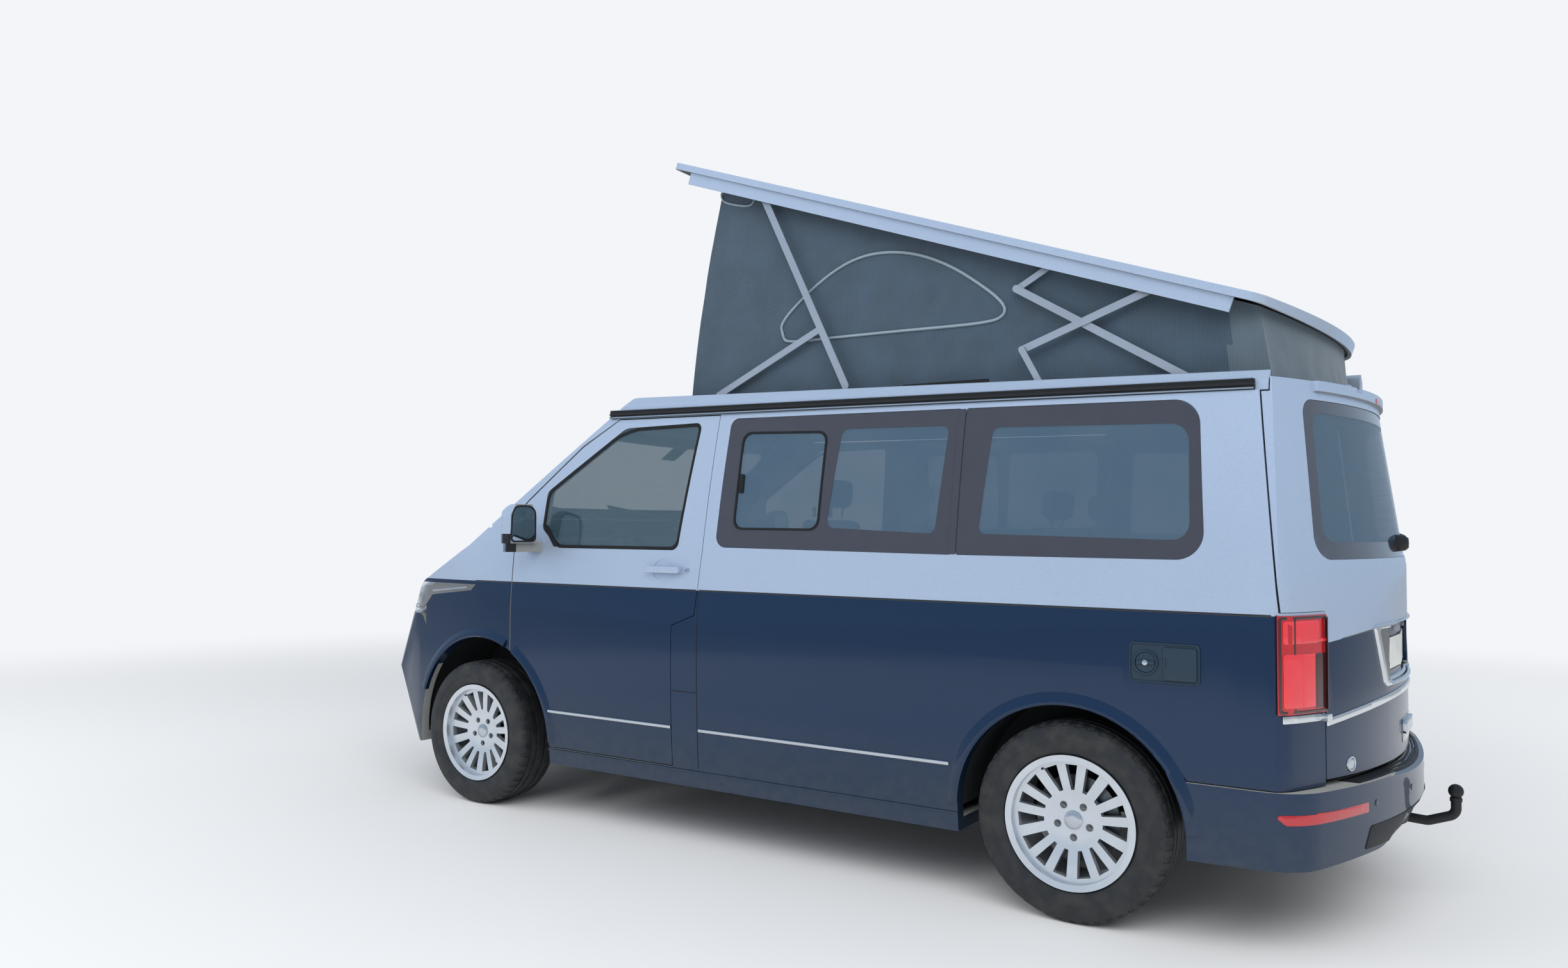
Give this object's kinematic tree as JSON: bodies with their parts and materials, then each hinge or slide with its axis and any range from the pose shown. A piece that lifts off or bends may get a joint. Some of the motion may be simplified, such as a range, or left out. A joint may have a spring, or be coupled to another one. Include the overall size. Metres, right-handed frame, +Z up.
{
  "type": "camper van",
  "caption": "Full-size camper van with a pop-up tent roof on folding arms, side sliding door, hinged doors, lids and steered wheels.",
  "frame": {"origin": "on the ground under the middle of the whole length and width", "axes": "+X forwards, +Y to the van's left, +Z up"},
  "size_m": [5.034, 2.296, 3.0443],
  "materials": {
    "paint": "metallic, silver above the waist line",
    "roof_paint": "metallic",
    "glass": "dark tinted",
    "lens": "clear",
    "red_lens": "gloss",
    "trim": "satin",
    "underbody": "matt",
    "steel": "satin",
    "engine": "matt",
    "rail": "anodised",
    "tent": "woven",
    "seat_cloth": "woven",
    "cabinet": "satin",
    "tyre": "matt",
    "wheel": "painted silver"
  },
  "bodies": {
    "body": {"side_panel_left": "paint", "side_panel_right": "paint", "sliding_door": "paint", "roof_frame": "roof_paint", "floor_pan": "underbody", "front_wings": "paint", "windscreen_frame": "paint", "windscreen": "glass", "front_bumper": "paint", "front_grille": "trim", "headlights": "lens", "side_windows": "glass", "tail_lights": "red_lens", "rear_bumper": "paint", "tow_bar": "steel", "roof_rails": "rail", "awning": "rail", "dashboard": "trim", "seats": "seat_cloth", "kitchen_unit": "cabinet", "engine_block": "engine", "front_subframe": "steel", "rear_axle": "steel", "roof_bellows": "tent"},
    "door_left": {"door_left": "paint", "door_glass_left": "glass", "mirror_left": "paint"},
    "knuckle_left": {"knuckle_left": "steel"},
    "door_right": {"door_right": "paint", "door_glass_right": "glass", "mirror_right": "paint"},
    "knuckle_right": {"knuckle_right": "steel"},
    "bonnet": {"bonnet": "paint"},
    "tailgate": {"tailgate": "paint", "tailgate_glass": "glass"},
    "roof_shell": {"roof_shell": "roof_paint"},
    "front_long_arms": {"front_long_arms": "rail"},
    "front_short_arms": {"front_short_arms": "rail"},
    "rear_roof_arms": {"rear_roof_arms": "rail"},
    "rear_body_arms": {"rear_body_arms": "rail"},
    "rear_body_links": {"rear_body_links": "rail"},
    "rear_roof_links": {"rear_roof_links": "rail"},
    "steering_wheel": {"steering_wheel": "trim"},
    "wheel_front_left": {"tyre_front_left": "tyre", "rim_front_left": "wheel"},
    "wheel_front_right": {"tyre_front_right": "tyre", "rim_front_right": "wheel"},
    "wheel_rear_left": {"tyre_rear_left": "tyre", "rim_rear_left": "wheel"},
    "wheel_rear_right": {"tyre_rear_right": "tyre", "rim_rear_right": "wheel"}
  },
  "joints": [
    {"name": "roof_lift", "type": "hinge", "parent": "body", "child": "roof_shell", "pos_m": [-2.704, 0, 2.072], "axis": [0, -1, 0], "range_deg": [-18, 0], "deforming": ["roof_bellows"]},
    {"name": "front_long_arms_turn", "type": "hinge", "parent": "roof_shell", "child": "front_long_arms", "pos_m": [0.02, 0, 2.793], "axis": [0, -1, 0], "range_deg": [-44.8, 0]},
    {"name": "front_short_arms_turn", "type": "hinge", "parent": "body", "child": "front_short_arms", "pos_m": [0.259, 0, 1.94], "axis": [0, -1, 0], "range_deg": [0, 26.8]},
    {"name": "rear_roof_arms_turn", "type": "hinge", "parent": "roof_shell", "child": "rear_roof_arms", "pos_m": [-1.673, 0, 2.21], "axis": [0, -1, 0], "range_deg": [0, 39.6]},
    {"name": "rear_body_arms_turn", "type": "hinge", "parent": "body", "child": "rear_body_arms", "pos_m": [-1.754, 0, 1.885], "axis": [0, -1, 0], "range_deg": [-30, 0]},
    {"name": "rear_body_links_turn", "type": "hinge", "parent": "body", "child": "rear_body_links", "pos_m": [-1.234, 0, 1.895], "axis": [0, -1, 0], "range_deg": [-60.2, 0]},
    {"name": "rear_roof_links_turn", "type": "hinge", "parent": "roof_shell", "child": "rear_roof_links", "pos_m": [-1.279, 0, 2.338], "axis": [0, -1, 0], "range_deg": [0, 48.4]},
    {"name": "door_left_hinge", "type": "hinge", "parent": "body", "child": "door_left", "pos_m": [1.345, 0.956, 1], "axis": [0, 0, -1], "range_deg": [0, 66]},
    {"name": "door_right_hinge", "type": "hinge", "parent": "body", "child": "door_right", "pos_m": [1.345, -0.956, 1], "axis": [0, 0, 1], "range_deg": [0, 66]},
    {"name": "bonnet_hinge", "type": "hinge", "parent": "body", "child": "bonnet", "pos_m": [1.549, 0, 1.362], "axis": [0, -1, 0], "range_deg": [0, 50]},
    {"name": "tailgate_hinge", "type": "hinge", "parent": "body", "child": "tailgate", "pos_m": [-2.203, 0, 1.862], "axis": [0, 1, 0], "range_deg": [0, 80]},
    {"name": "steer_left", "type": "hinge", "parent": "body", "child": "knuckle_left", "pos_m": [1.609, 0.7, 0.345], "axis": [0, 0, 1], "range_deg": [-35, 35]},
    {"name": "steer_right", "type": "hinge", "parent": "body", "child": "knuckle_right", "pos_m": [1.609, -0.7, 0.345], "axis": [0, 0, 1], "range_deg": [-35, 35]},
    {"name": "steering_wheel_turn", "type": "hinge", "parent": "body", "child": "steering_wheel", "pos_m": [1.039, 0.4, 1.15], "axis": [-0.8829, 0, 0.4695], "range_deg": [-492, 492]},
    {"name": "spin_front_left", "type": "hinge", "parent": "knuckle_left", "child": "wheel_front_left", "pos_m": [1.609, 0.814, 0.345], "axis": [0, 1, 0], "continuous": true},
    {"name": "spin_front_right", "type": "hinge", "parent": "knuckle_right", "child": "wheel_front_right", "pos_m": [1.609, -0.814, 0.345], "axis": [0, 1, 0], "continuous": true},
    {"name": "spin_rear_left", "type": "hinge", "parent": "body", "child": "wheel_rear_left", "pos_m": [-1.391, 0.814, 0.345], "axis": [0, 1, 0], "continuous": true},
    {"name": "spin_rear_right", "type": "hinge", "parent": "body", "child": "wheel_rear_right", "pos_m": [-1.391, -0.814, 0.345], "axis": [0, 1, 0], "continuous": true}
  ],
  "couplings": [
    {"joint": "front_long_arms_turn", "follows": "roof_lift", "ratio": 2.476},
    {"joint": "front_short_arms_turn", "follows": "roof_lift", "ratio": -1.4724},
    {"joint": "rear_roof_arms_turn", "follows": "roof_lift", "ratio": -2.1843},
    {"joint": "rear_body_arms_turn", "follows": "roof_lift", "ratio": 1.6534},
    {"joint": "rear_body_links_turn", "follows": "roof_lift", "ratio": 3.3321},
    {"joint": "rear_roof_links_turn", "follows": "roof_lift", "ratio": -2.6739},
    {"joint": "steer_right", "follows": "steer_left", "ratio": 1},
    {"joint": "steering_wheel_turn", "follows": "steer_left", "ratio": 14}
  ]
}
